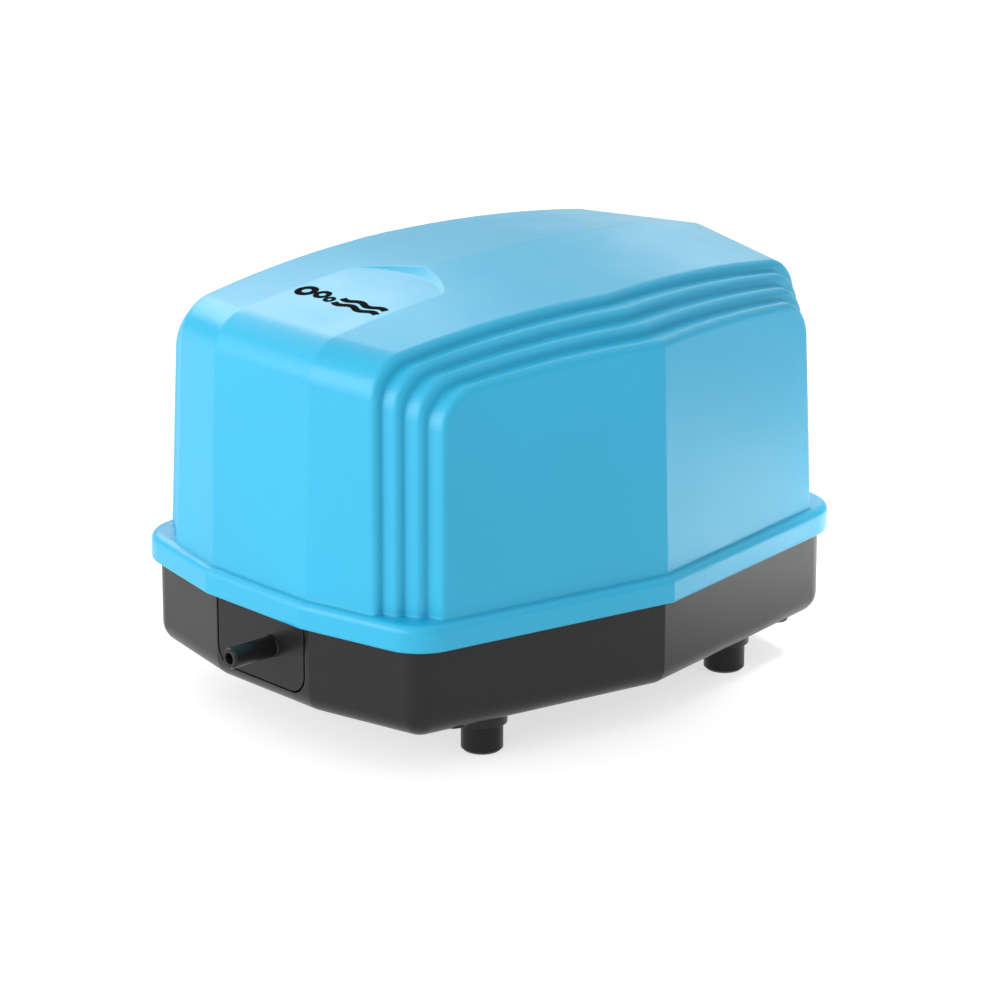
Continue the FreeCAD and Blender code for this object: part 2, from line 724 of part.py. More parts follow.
def build_outlet():
    slab = extrude("plate_slab", yz_sketch("plate_outline", plate_outline(0.0), PLATE_X),
                   (1, 0, 0), "P.tray_wall")
    lip = box("plate_lip", (PLATE_X + " + P.tray_wall + 0.6", PLATE_X + " + P.tray_wall + 2"),
              ("P.plate_y - P.plate_half_y - P.lip_wide",
               "P.plate_y + P.plate_half_y + P.lip_wide"),
              ("P.plate_bottom_z + 2.5", "P.tray_rim_z - 0.5"))
    bridge = box("plate_bridge", (PLATE_X + " + 1", PLATE_X + " + P.tray_wall + 1"),
                 ("-P.plate_half_y + 8", "P.plate_half_y - 8"),
                 ("P.plate_bottom_z + 3", "P.tray_rim_z - 1"))
    at = ("P.nozzle_y", "P.nozzle_z")
    hole = cyl("plate_hole", "P.nozzle_r + 0.1", "X", (PLATE_X + " - 1", PLATE_X + " + 6"), at)
    node("outlet_plate", cut("outlet_plate_shape", fuse("plate_body", slab, lip, bridge), hole))

    tip = PLATE_X + " - P.nozzle_long"
    tube = cyl("nozzle_tube", "P.nozzle_r", "X", (tip + " + 0.8", NOZZLE_IN), at)
    rim = cone("nozzle_rim", ("P.nozzle_r - 0.5", "P.nozzle_r"), "X",
               (tip, tip + " + 0.8"), at)
    root = cone("nozzle_root", ("P.nozzle_r", "P.nozzle_r + 0.5"), "X",
                (PLATE_X + " - 1", PLATE_X), at)
    collar = cyl("nozzle_collar", "P.nozzle_r + 3.5", "X",
                 (PLATE_X + " + 5.6", PLATE_X + " + 7.6"), at)
    bore = cyl("nozzle_bore", "P.nozzle_bore_r", "X", (tip + " - 1", NOZZLE_IN + " + 1"), at)
    node("outlet_nozzle", cut("outlet_nozzle_shape",
                              fuse("nozzle_body", tube, rim, root, collar), bore))
    seal = cyl("seal_disc", "P.nozzle_r + 3", "X", (PLATE_X + " + 4.6", PLATE_X + " + 5.6"), at)
    seal_bore = cyl("seal_bore", "P.nozzle_r + 0.05", "X",
                    (PLATE_X + " + 4", PLATE_X + " + 7"), at)
    node("outlet_seal", cut("outlet_seal_shape", seal, seal_bore))
    hose = cyl("outlet_hose_tube", "P.nozzle_r + 2.2", "X",
               (NOZZLE_IN + " - 6", TANK_SPIGOT + " + 5"), at)
    hose_bore = cyl("outlet_hose_bore", "P.nozzle_r + 0.05", "X",
                    (NOZZLE_IN + " - 7", TANK_SPIGOT + " + 6"), at)
    node("outlet_hose", cut("outlet_hose_shape", hose, hose_bore))


PLATE_X = "P.tray_inset - P.end_apex_x + %.4f" % (END_SLOPE * V.facet_half_y)
NOZZLE_IN = PLATE_X + " + 14"
TANK_SPIGOT = "-P.tank_half_x - 7"
CENTRE_SHIFT = "(P.nozzle_long - (%s) - P.end_apex_x) / 2" % PLATE_X


def build_tank():
    lid_low = "P.tank_top_z - P.tank_lid"
    outside = box("tank_block", ("-P.tank_half_x", "P.tank_half_x"),
                  ("-P.tank_half_y", "P.tank_half_y"), ("P.tank_bottom_z", lid_low + " - 0.8"))
    inside = box("tank_space", ("P.tank_wall - P.tank_half_x", "P.tank_half_x - P.tank_wall"),
                 ("P.tank_wall - P.tank_half_y", "P.tank_half_y - P.tank_wall"),
                 ("P.tank_bottom_z + P.tank_wall", "P.tank_top_z"))
    at = ("P.nozzle_y", "P.nozzle_z")
    posts = []
    bores = []
    lid_bores = []
    gasket_bores = []
    screws = []
    for i, at_xy in enumerate(four("P.tank_half_x - 6", "P.tank_half_y - 6")):
        posts.append(cyl("tank_post_%d" % i, "4", "Z",
                         ("P.tank_bottom_z + 1", lid_low + " - 0.8"), at_xy))
        bores.append(cyl("tank_bore_%d" % i, "P.small_screw_r + P.screw_clear", "Z",
                         (lid_low + " - 12", "P.tank_top_z"), at_xy))
        lid_bores.append(cyl("lid_bore_%d" % i, "P.small_screw_r + P.screw_clear", "Z",
                             (lid_low + " - 2", "P.tank_top_z + 1"), at_xy))
        gasket_bores.append(cyl("tank_gasket_bore_%d" % i, "P.small_screw_r + 0.2", "Z",
                                (lid_low + " - 2", "P.tank_top_z + 1"), at_xy))
        screws.append(screw("tank_screw_%d" % i, at_xy, "Z",
                            ("P.tank_top_z", "P.tank_top_z + 2.2"),
                            (lid_low + " - 11", "P.tank_top_z"), "3"))
    spigot = cyl("tank_spigot", "P.nozzle_r", "X", (TANK_SPIGOT, "-P.tank_half_x + 1"), at)
    spigot_bore = cyl("tank_spigot_bore", "P.nozzle_bore_r", "X",
                      (TANK_SPIGOT + " - 1", "-P.tank_half_x + 4"), at)
    pad = box("tank_foot", ("-30", "30"), ("-P.tank_half_y", "P.tank_half_y"),
              (FLOOR, "P.tank_bottom_z"))
    tub = cut("tank_tub", outside, inside)
    node("air_tank", cut("air_tank_shape", fuse("tank_body", tub, spigot, pad, *posts),
                         spigot_bore, *bores))

    frame = cut("tank_gasket_ring",
                box("tank_gasket_block", ("-P.tank_half_x", "P.tank_half_x"),
                    ("-P.tank_half_y", "P.tank_half_y"), (lid_low + " - 0.8", lid_low)),
                box("tank_gasket_space",
                    ("P.tank_wall - P.tank_half_x", "P.tank_half_x - P.tank_wall"),
                    ("P.tank_wall - P.tank_half_y", "P.tank_half_y - P.tank_wall"),
                    (lid_low + " - 2", lid_low + " + 1")))
    node("tank_gasket", cut("tank_gasket_shape", frame, *gasket_bores))

    cover = box("lid_block", ("-P.tank_half_x", "P.tank_half_x"),
                ("-P.tank_half_y", "P.tank_half_y"), (lid_low, "P.tank_top_z"))
    ports = []
    for side in (-1, 1):
        tag = "np"[side > 0]
        port_at = ("%d * P.port_x" % side, "0")
        ports.append(cyl("lid_port_" + tag, "P.port_r", "Z",
                         ("P.tank_top_z - 1", "P.tank_top_z + 6"), port_at))
        lid_bores.append(cyl("lid_port_bore_" + tag, "P.port_bore_r", "Z",
                             (lid_low + " - 1", "P.tank_top_z + 7"), port_at))
    node("tank_lid", cut("tank_lid_shape", fuse("lid_body", cover, *ports), *lid_bores))
    node("tank_screws", group("tank_screw_set", *screws))
    for side, tag in ENDS:
        port_at = ("%d * P.port_x" % side, "0")
        hose = cyl("feed_hose_tube_" + tag, "P.port_r + 2", "Z",
                   ("P.tank_top_z + 1", "P.axis_z - P.head_half_z - 0.5"), port_at)
        bore = cyl("feed_hose_bore_" + tag, "P.port_r + 0.05", "Z",
                   ("P.tank_top_z", HEAD_LOW + " + 1"), port_at)
        node("feed_hose_" + tag, cut("feed_hose_shape_" + tag, hose, bore))


ENDS = ((-1, "front"), (1, "rear"))
HEAD_LOW = "P.axis_z - P.cap_half_z"


def span_x(side, near, far):
    """A (low, high) pair along X for a piece between near and far from the middle."""
    if side > 0:
        return (near, far)
    return ("-(%s)" % far, "-(%s)" % near)


# ---------------------------------------------------------------- drive

AXIS = ("0", "P.axis_z")


def build_frame():
    floor_top = "P.frame_floor_z + P.frame_floor"
    floor = box("frame_floor", ("-P.frame_half_x - 12", "P.frame_half_x + 12"),
                ("-P.frame_half_y - 2", "P.frame_half_y + 2"),
                ("P.frame_floor_z", floor_top))
    adds = [floor]
    cuts = []
    for side, tag in ENDS:
        adds.append(box("frame_end_" + tag,
                        span_x(side, "P.frame_half_x - P.frame_wall", "P.frame_half_x"),
                        ("-P.frame_half_y", "P.frame_half_y"),
                        ("P.frame_floor_z + 1", "P.axis_z + P.head_half_z")))
        cuts.append(cyl("frame_opening_" + tag, "P.chamber_r", "X",
                        span_x(side, "P.frame_half_x - P.frame_wall - 1", "P.frame_half_x + 1"),
                        AXIS))
    for i, (y, z) in enumerate(four("P.head_half_y - 5", "P.head_half_z - 5")):
        height = "P.axis_z + " + z
        cuts.append(cyl("frame_thread_%d" % i, "P.small_screw_r + P.screw_clear", "X",
                        ("-P.frame_half_x - 2", "P.frame_half_x + 2"), (y, height)))
    for side in (-1, 1):
        tag = "np"[side > 0]
        y = span_x(side, "P.core_out_y - 12", "P.core_out_y")
        adds.append(box("core_saddle_" + tag, ("-P.core_half_x", "P.core_half_x"), y,
                        ("P.frame_floor_z + 1", "P.axis_z - P.core_half_z")))
        adds.append(box("frame_rail_" + tag, ("-P.frame_half_x + 1", "P.frame_half_x - 1"),
                        span_x(side, "P.frame_half_y - 14", "P.frame_half_y - 8"),
                        ("P.axis_z + P.head_half_z - 5", "P.axis_z + P.head_half_z")))
        cuts.append(box("saddle_window_" + tag, ("-P.coil_half_x - 1", "P.coil_half_x + 1"),
                        span_x(side, "P.core_out_y - 13", "P.core_out_y + 1"),
                        ("P.axis_z - P.coil_half_z - 1", "P.axis_z - P.core_half_z + 1")))
    cuts.append(box("lead_notch", ("-17", "17"), ("-P.core_out_y - 1", "13 - P.core_out_y"),
                    (floor_top, floor_top + " + 9")))
    for i, at in enumerate(four("P.mount_x", "P.mount_y")):
        cuts.append(cyl("frame_mount_bore_%d" % i, "P.small_screw_r + P.screw_clear", "Z",
                        ("P.frame_floor_z - 1", floor_top + " + 1"), at))
    for i, at in enumerate(four("P.core_half_x - 5", "P.core_out_y - 5")):
        cuts.append(cyl("saddle_bore_%d" % i, "P.small_screw_r + P.screw_clear", "Z",
                        ("P.axis_z - P.core_half_z - 12", "P.axis_z"), at))
    node("pump_frame", cut("pump_frame_shape", fuse("frame_body", *adds), *cuts))

    screws = []
    for i, at in enumerate(four("P.mount_x", "P.mount_y")):
        name = "isolator_%d" % (i + 1)
        waist = cut(name + "_body", cyl(name + "_disc", "P.mount_r", "Z",
                                        (MOUNT_LOW, "P.frame_floor_z"), at),
                    torus(name + "_groove", "P.mount_r + 0.6", "1.8",
                          at + (MOUNT_LOW + " + P.mount_high / 2",)))
        node(name, cut(name + "_shape", waist,
                       cyl(name + "_bore", "P.small_screw_r + P.screw_clear", "Z",
                           (MOUNT_LOW + " - 1", "P.frame_floor_z + 1"), at)))
        screws.append(screw(name + "_screw", at, "Z", (floor_top, floor_top + " + 2.4"),
                            (MOUNT_LOW + " - 11", floor_top), "3"))
    node("isolator_screws", group("isolator_screw_set", *screws))


def torus(name, ring_r, tube_r, base):
    obj = doc.addObject("Part::Torus", name)
    obj.setExpression("Radius1", ring_r)
    obj.setExpression("Radius2", tube_r)
    place(obj, base)
    return obj


def build_stators():
    core_z = ("P.axis_z - P.core_half_z", "P.axis_z + P.core_half_z")
    bolts = []
    for side, tag in ((-1, "right"), (1, "left")):
        yoke = box("yoke_" + tag, ("-P.core_half_x", "P.core_half_x"),
                   span_x(side, "P.core_out_y - 10", "P.core_out_y"), core_z)
        legs = [yoke]
        for place_name, middle in (("a", "-P.core_half_x + P.core_leg / 2"), ("b", "0"),
                                   ("c", "P.core_half_x - P.core_leg / 2")):
            legs.append(box("leg_%s_%s" % (tag, place_name),
                            (middle + " - P.core_leg / 2", middle + " + P.core_leg / 2"),
                            span_x(side, "P.core_in_y", "P.core_out_y - 9"), core_z))
        holes = []
        for i in (-1, 1):
            at = ("%d * (P.core_half_x - 5)" % i, "%d * (P.core_out_y - 5)" % side)
            holes.append(cyl("core_bore_%s_%s" % (tag, "np"[i > 0]),
                             "P.small_screw_r + P.screw_clear", "Z",
                             (core_z[0] + " - 1", core_z[1] + " + 1"), at))
            bolts.append(screw("core_bolt_%s_%s" % (tag, "np"[i > 0]), at, "Z",
                               (core_z[1], core_z[1] + " + 3"),
                               (core_z[0] + " - 10", core_z[1]), "3.2"))
        node("core_" + tag, cut("core_shape_" + tag, fuse("core_body_" + tag, *legs), *holes))

        tube = "P.core_leg / 2"
        bobbin = [box("bobbin_tube_" + tag, ("-%s - 1.6" % tube, tube + " + 1.6"),
                      span_x(side, "P.core_in_y + 1", "P.core_out_y - 10.2"),
                      (core_z[0] + " - 1.6", core_z[1] + " + 1.6"))]
        for near, far, end in (("P.core_in_y + 1", "P.core_in_y + 2.2", "in"),
                               ("P.core_out_y - 11.4", "P.core_out_y - 10.2", "out")):
            bobbin.append(box("bobbin_flange_%s_%s" % (end, tag),
                              ("-P.coil_half_x", "P.coil_half_x"), span_x(side, near, far),
                              ("P.axis_z - P.coil_half_z", "P.axis_z + P.coil_half_z")))
        slot = box("bobbin_slot_" + tag, ("-%s - 0.1" % tube, tube + " + 0.1"),
                   span_x(side, "P.core_in_y", "P.core_out_y - 9"),
                   (core_z[0] + " - 0.1", core_z[1] + " + 0.1"))
        node("bobbin_" + tag, cut("bobbin_shape_" + tag,
                                  fuse("bobbin_body_" + tag, *bobbin), slot))
        winding = box("winding_" + tag, ("-P.coil_half_x + 1.5", "P.coil_half_x - 1.5"),
                      span_x(side, "P.core_in_y + 2.3", "P.core_out_y - 11.5"),
                      ("P.axis_z - P.coil_half_z + 1.5", "P.axis_z + P.coil_half_z - 1.5"))
        core_space = box("winding_space_" + tag, ("-%s - 1.7" % tube, tube + " + 1.7"),
                         span_x(side, "P.core_in_y", "P.core_out_y"),
                         (core_z[0] + " - 1.7", core_z[1] + " + 1.7"))
        node("coil_" + tag, cut("coil_shape_" + tag, winding, core_space))
    node("core_bolts", group("core_bolt_set", *bolts))
    fuse_top = "P.axis_z + P.coil_half_z - 1.4"
    node("thermal_cutout", box("thermal_cutout_case", ("-7", "7"),
                               ("P.core_in_y + 3", "P.core_in_y + 10"),
                               (fuse_top, fuse_top + " + 4")))


def build_armature():
    rod = cyl("rod_bar", "P.rod_r", "X", ("-P.rod_half_x", "P.rod_half_x"), AXIS)
    node("drive_rod", rod)
    block = box("carrier_block", ("-P.carrier_half_x", "P.carrier_half_x"),
                ("-P.carrier_half_y", "P.carrier_half_y"),
                ("P.axis_z - P.carrier_half_z", "P.axis_z + P.carrier_half_z"))
    cuts = [cyl("carrier_bore", "P.rod_r + 0.02", "X",
                ("-P.carrier_half_x - 1", "P.carrier_half_x + 1"), AXIS)]
    for side, tag in ENDS:
        x = span_x(side, "P.magnet_x - P.magnet_long / 2", "P.magnet_x + P.magnet_long / 2")
        z = ("P.axis_z - P.magnet_half_z", "P.axis_z + P.magnet_half_z")
        cuts.append(box("magnet_window_" + tag, x, ("-P.magnet_half_y", "P.magnet_half_y"), z))
        plates = []
        for y_side in (-1, 1):
            plates.append(box("magnet_plate_%s_%s" % (tag, "np"[y_side > 0]), x,
                              span_x(y_side, "P.rod_r + 0.1", "P.magnet_half_y"), z))
        node("magnet_" + tag, group("magnet_pair_" + tag, *plates))
    node("magnet_carrier", cut("magnet_carrier_shape", block, *cuts))

    nuts = []
    for side, tag in ENDS:
        face = "P.frame_half_x"
        outer = face + " + P.diaphragm_thick"
        disc = cyl("diaphragm_disc_" + tag, "P.diaphragm_r", "X", span_x(side, face, outer), AXIS)
        fold = revolved_fold("diaphragm_fold_" + tag, side)
        bore = cyl("diaphragm_bore_" + tag, "P.rod_r + 0.02", "X",
                   span_x(side, face + " - 5", outer + " + 5"), AXIS)
        node("diaphragm_" + tag, cut("diaphragm_shape_" + tag, disc, fold, bore))
        for kind, near, far in (("inner_disc_", face + " - 2.5", face),
                                ("outer_disc_", outer, outer + " + 2")):
            node(kind + tag, cut(kind + "shape_" + tag,
                                 cyl(kind + "blank_" + tag, "P.clamp_disc_r", "X",
                                     span_x(side, near, far), AXIS),
                                 cyl(kind + "bore_" + tag, "P.rod_r + 0.02", "X",
                                     span_x(side, near + " - 1", far + " + 1"), AXIS)))
        nuts.append(hex_nut("rod_nut_" + tag, span_x(side, outer + " + 2", outer + " + 5.5")))
    node("rod_nuts", group("rod_nut_set", *nuts))


def revolved_fold(name, side):
    """The groove that thins a diaphragm between its rim and its clamp discs."""
    face = "%d * P.frame_half_x" % side
    return torus_along_x(name, "(P.clamp_disc_r + P.chamber_r) / 2", "1.5", face)


def torus_along_x(name, ring_r, tube_r, at_x):
    obj = doc.addObject("Part::Torus", name)
    obj.setExpression("Radius1", ring_r)
    obj.setExpression("Radius2", tube_r)
    place(obj, (at_x,) + AXIS, TURNS["X"])
    return obj


def hex_nut(name, span):
    """A nut on the rod: a hexagonal prism with a bore that just clears the rod."""
    prism = doc.addObject("Part::Prism", name + "_blank")
    prism.Polygon = 6
    prism.setExpression("Circumradius", "P.rod_r + 3.5")
    prism.setExpression("Height", "(%s) - (%s)" % (span[1], span[0]))
    place(prism, (span[0],) + AXIS, TURNS["X"])
    bore = cyl(name + "_bore", "P.rod_r + 0.02", "X",
               (span[0] + " - 1", span[1] + " + 1"), AXIS)
    return cut(name, prism, bore)


# ---------------------------------------------------------------- valve heads

def valve_ports(name, height, span):
    """Four small air holes round a flap's stem."""
    holes = []
    for i, (y, z) in enumerate(four("3.6", "3.6")):
        holes.append(cyl("%s_%d" % (name, i), "1.6", "X", span, (y, "%s + %s" % (height, z))))
    return holes


def build_heads():
    screws = []
    for side, tag in ENDS:
        near = "P.frame_half_x + P.diaphragm_thick"
        far = near + " + P.head_long"
        block = box("head_block_" + tag, span_x(side, near, far),
                    ("-P.head_half_y", "P.head_half_y"),
                    ("P.axis_z - P.head_half_z", "P.axis_z + P.head_half_z"))
        cuts = [cyl("head_chamber_" + tag, "P.chamber_r", "X",
                    span_x(side, near + " - 1", near + " + P.chamber_deep"), AXIS)]
        plate = (near + " + P.chamber_deep - 1", far + " + 1")
        for kind, height in (("inlet", "P.axis_z + P.valve_off_z"),
                             ("outlet", "P.axis_z - P.valve_off_z")):
            cuts.append(cyl("%s_stem_hole_%s" % (kind, tag), "P.flap_stem_r + 0.05", "X",
                            span_x(side, *plate), ("0", height)))
            cuts.extend(valve_ports("%s_port_%s" % (kind, tag), height,
                                    span_x(side, *plate)))
            node("%s_flap_%s" % (kind, tag), flap(kind, tag, side, height))
        cap_far = far + " + P.cap_long"
        cap = box("cap_block_" + tag, span_x(side, far, cap_far),
                  ("-P.cap_half_y", "P.cap_half_y"),
                  ("P.axis_z - P.cap_half_z", "P.axis_z + P.cap_half_z"))
        cap_spaces = []
        for level, low, high in (("low", HEAD_LOW + " + P.cap_wall", "P.axis_z - 1.5"),
                                 ("top", "P.axis_z + 1.5", "P.axis_z + P.cap_half_z - P.cap_wall")):
            cap_spaces.append(box("cap_space_%s_%s" % (level, tag),
                                  span_x(side, far + " - 1", cap_far + " - P.cap_wall"),
                                  ("P.cap_wall - P.cap_half_y", "P.cap_half_y - P.cap_wall"),
                                  (low, high)))
        port_at = ("%d * P.port_x" % side, "0")
        stub_low = cyl("cap_stub_low_" + tag, "P.port_r", "Z",
                       (HEAD_LOW + " - 14", HEAD_LOW + " + 1"), port_at)
        stub_top = cyl("cap_stub_top_" + tag, "P.port_r + 1", "Z",
                       ("P.axis_z + P.cap_half_z - 1", "P.axis_z + P.cap_half_z + 7"), port_at)
        stub_bores = [cyl("cap_bore_low_" + tag, "P.port_bore_r", "Z",
                          (HEAD_LOW + " - 15", HEAD_LOW + " + 4"), port_at),
                      cyl("cap_bore_top_" + tag, "P.port_bore_r + 1", "Z",
                          ("P.axis_z + P.cap_half_z - 5", "P.axis_z + P.cap_half_z + 8"),
                          port_at)]
        flange = box("cap_flange_" + tag, span_x(side, far, far + " + 4"),
                     ("1 - P.head_half_y", "P.head_half_y - 1"),
                     ("P.axis_z - P.head_half_z + 1", "P.axis_z + P.head_half_z - 1"))
        for i, (y, z) in enumerate(four("P.head_half_y - 5", "P.head_half_z - 5")):
            at = (y, "P.axis_z + " + z)
            cuts.append(cyl("head_bore_%s_%d" % (tag, i), "P.small_screw_r + P.screw_clear",
                            "X", span_x(side, near + " - 1", far + " + 1"), at))
            stub_bores.append(cyl("flange_bore_%s_%d" % (tag, i),
                                  "P.small_screw_r + P.screw_clear", "X",
                                  span_x(side, far + " - 1", far + " + 5"), at))
            screws.append(screw("head_screw_%s_%d" % (tag, i), at, "X",
                                span_x(side, far + " + 4", far + " + 6.4"),
                                span_x(side, "P.frame_half_x - P.frame_wall + 1", far + " + 4"),
                                "3"))
        node("valve_head_" + tag, cut("valve_head_shape_" + tag, block, *cuts))
        node("head_cap_" + tag, cut("head_cap_shape_" + tag,
                                    fuse("cap_body_" + tag, cap, flange, stub_low, stub_top),
                                    *(cap_spaces + stub_bores)))
    node("head_screws", group("head_screw_set", *screws))


def flap(kind, tag, side, height):
    """A round rubber flap whose stem runs through the valve plate.

    The inlet flap lies on the plate's chamber side and the outlet flap on its outer side.
    """
    near = "P.frame_half_x + P.diaphragm_thick + P.chamber_deep"
    far = "P.frame_half_x + P.diaphragm_thick + P.head_long"
    at = ("0", height)
    if kind == "inlet":
        disc = (near + " - P.flap_thick", near)
        stem = (near + " - 0.5", far + " + 2.5")
        knob = (far + " + 1.5", far + " + 3")
    else:
        disc = (far, far + " + P.flap_thick")
        stem = (near + " - 2.5", far + " + 0.5")
        knob = (near + " - 3", near + " - 1.5")
    name = "%s_flap_%s" % (kind, tag)
    return fuse(name + "_shape", cyl(name + "_disc", "P.flap_r", "X", span_x(side, *disc), at),
                cyl(name + "_stem", "P.flap_stem_r", "X", span_x(side, *stem), at),
                cyl(name + "_knob", "P.flap_stem_r + 0.9", "X", span_x(side, *knob), at))


# ---------------------------------------------------------------- wiring

def build_wiring():
    out_x = "P.cord_out_x"
    sleeve = cyl("grommet_sleeve", "P.cord_r + 2", "X", ("P.cord_in_x - 2", out_x + " + 1"),
                 ("P.cord_y", "P.cord_z"))
    flange_out = cyl("grommet_flange_out", "P.cord_r + 4", "X", (out_x, out_x + " + 2.5"),
                     ("P.cord_y", "P.cord_z"))
    flange_in = cyl("grommet_flange_in", "P.cord_r + 3.5", "X",
                    ("P.cord_in_x - 2", "P.cord_in_x"), ("P.cord_y", "P.cord_z"))
    bore = cyl("grommet_bore", "P.cord_r", "X", ("P.cord_in_x - 3", out_x + " + 4"),
               ("P.cord_y", "P.cord_z"))
    node("cord_grommet", cut("cord_grommet_shape",
                             fuse("grommet_body", sleeve, flange_out, flange_in), bore))
    low, high = FLOOR, FLOOR + " + 13"
    y = "P.terminal_y"
    block = box("terminal_case", ("-14", "14"), (y + " - 6", y + " + 6"), (low, high))
    pockets = []
    screws = []
    for i in range(3):
        middle = "%d * P.slot_pitch" % (i - 1)
        pockets.append(cyl("terminal_pocket_%d" % i, "3", "Z", (high + " - 4", high + " + 1"),
                           (middle, y)))
        screws.append(cyl("terminal_screw_%d" % i, "2.4", "Z", (high + " - 4", high + " - 2"),
                          (middle, y)))
    node("terminal_block", cut("terminal_block_shape", block, *pockets))
    node("terminal_screws", group("terminal_screw_set", *screws))
    leads = []
    for side, tag in ((-1, "right"), (1, "left")):
        leads.append(lead("coil_lead_" + tag, side))
    node("coil_leads", group("coil_lead_set", *leads))


def lead(name, side):
    """An insulated wire from a coil, over the frame's floor, to the terminal block."""
    x = side * (V.coil_half_x - 4)
    y = side * (V.core_in_y + 8)
    end_x = side * V.slot_pitch
    floor_z = V.frame_floor_z + V.frame_floor + 2
    end_z = V.tray_bottom_z + V.tray_floor + 12
    points = [VEC(x, y, V.axis_z - V.coil_half_z + 1.4), VEC(x, y, floor_z + 5)]
    if side > 0:
        points.extend([VEC(x - 1, 8, floor_z), VEC(x - 3, -12, floor_z)])
    points.extend([
        VEC(end_x + 2 * side, -V.core_out_y + 6, floor_z),
        VEC(end_x, -V.frame_half_y - 6, floor_z - 1),
        VEC(end_x, V.terminal_y, end_z + 14),
        VEC(end_x, V.terminal_y, end_z),
    ])
    curve = Part.BSplineCurve()
    curve.interpolate(points)
    spine = Part.Wire(curve.toShape())
    ring = Part.Wire(Part.makeCircle(1.0, points[0], points[1] - points[0]))
    obj = doc.addObject("Part::Feature", name)
    obj.Shape = spine.makePipeShell([ring], True, True)
    return obj


# ---------------------------------------------------------------- build, test and write

for build in (build_cover, build_tray, build_feet, build_intake, build_outlet, build_tank,
              build_frame, build_stators, build_armature, build_heads, build_wiring):
    build()
finished = []
for label, piece in parts.items():
    placed = doc.addObject("Part::Compound", label + "_placed")
    placed.Links = [piece]
    placed.Label = label
    placed.setExpression(".Placement.Base.x", CENTRE_SHIFT)
    finished.append(placed)
doc.recompute()

for obj in doc.Objects:
    faults = [state for state in obj.State if state in ("Invalid", "Error")]
    if faults:
        raise RuntimeError("%s is %s" % (obj.Name, faults))
for obj in finished:
    if obj.Shape.isNull() or not obj.Shape.isValid() or not obj.Shape.Solids:
        raise RuntimeError("%s has no valid solid" % obj.Label)

os.makedirs("parts", exist_ok=True)
for obj in finished:
    obj.Shape.exportStep("parts/%s.step" % obj.Label)
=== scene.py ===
"""Looks of the pond air pump: materials, bending diaphragms, a print, lights and the camera."""

import json
import math

import bmesh
import bpy
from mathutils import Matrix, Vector
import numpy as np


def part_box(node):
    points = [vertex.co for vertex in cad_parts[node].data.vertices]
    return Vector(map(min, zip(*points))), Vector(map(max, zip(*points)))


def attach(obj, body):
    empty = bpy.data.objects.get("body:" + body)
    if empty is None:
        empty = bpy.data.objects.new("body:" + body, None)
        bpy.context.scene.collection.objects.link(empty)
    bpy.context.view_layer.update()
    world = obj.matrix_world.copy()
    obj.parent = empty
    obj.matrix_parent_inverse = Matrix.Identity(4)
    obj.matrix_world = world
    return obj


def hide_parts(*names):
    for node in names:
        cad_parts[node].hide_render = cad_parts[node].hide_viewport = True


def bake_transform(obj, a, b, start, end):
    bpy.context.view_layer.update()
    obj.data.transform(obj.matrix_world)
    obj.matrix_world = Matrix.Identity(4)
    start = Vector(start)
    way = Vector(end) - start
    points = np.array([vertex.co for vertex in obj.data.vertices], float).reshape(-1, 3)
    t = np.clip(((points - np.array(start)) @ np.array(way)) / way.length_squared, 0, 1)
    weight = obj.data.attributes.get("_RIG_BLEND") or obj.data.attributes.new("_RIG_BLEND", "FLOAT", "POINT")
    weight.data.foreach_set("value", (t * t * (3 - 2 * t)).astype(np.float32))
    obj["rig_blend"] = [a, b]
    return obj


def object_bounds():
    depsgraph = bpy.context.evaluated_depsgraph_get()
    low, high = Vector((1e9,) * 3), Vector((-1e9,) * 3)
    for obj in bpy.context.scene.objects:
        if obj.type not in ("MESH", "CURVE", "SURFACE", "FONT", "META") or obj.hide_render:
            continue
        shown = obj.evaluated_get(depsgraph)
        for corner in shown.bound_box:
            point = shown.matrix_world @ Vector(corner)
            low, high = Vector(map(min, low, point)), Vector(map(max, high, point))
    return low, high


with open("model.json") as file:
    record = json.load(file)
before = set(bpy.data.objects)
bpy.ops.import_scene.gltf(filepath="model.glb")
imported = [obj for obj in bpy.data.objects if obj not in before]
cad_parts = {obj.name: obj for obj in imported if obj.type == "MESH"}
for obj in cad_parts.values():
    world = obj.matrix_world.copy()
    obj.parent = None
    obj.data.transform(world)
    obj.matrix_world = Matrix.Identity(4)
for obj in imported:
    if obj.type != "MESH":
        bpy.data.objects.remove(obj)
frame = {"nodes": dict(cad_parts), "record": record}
CAD_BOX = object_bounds()
NODES = frame["nodes"]
SLOT_OF = {part["node"]: part["material_slot"] for part in frame["record"]["subparts"]}


# ---------------------------------------------------------------- node helpers

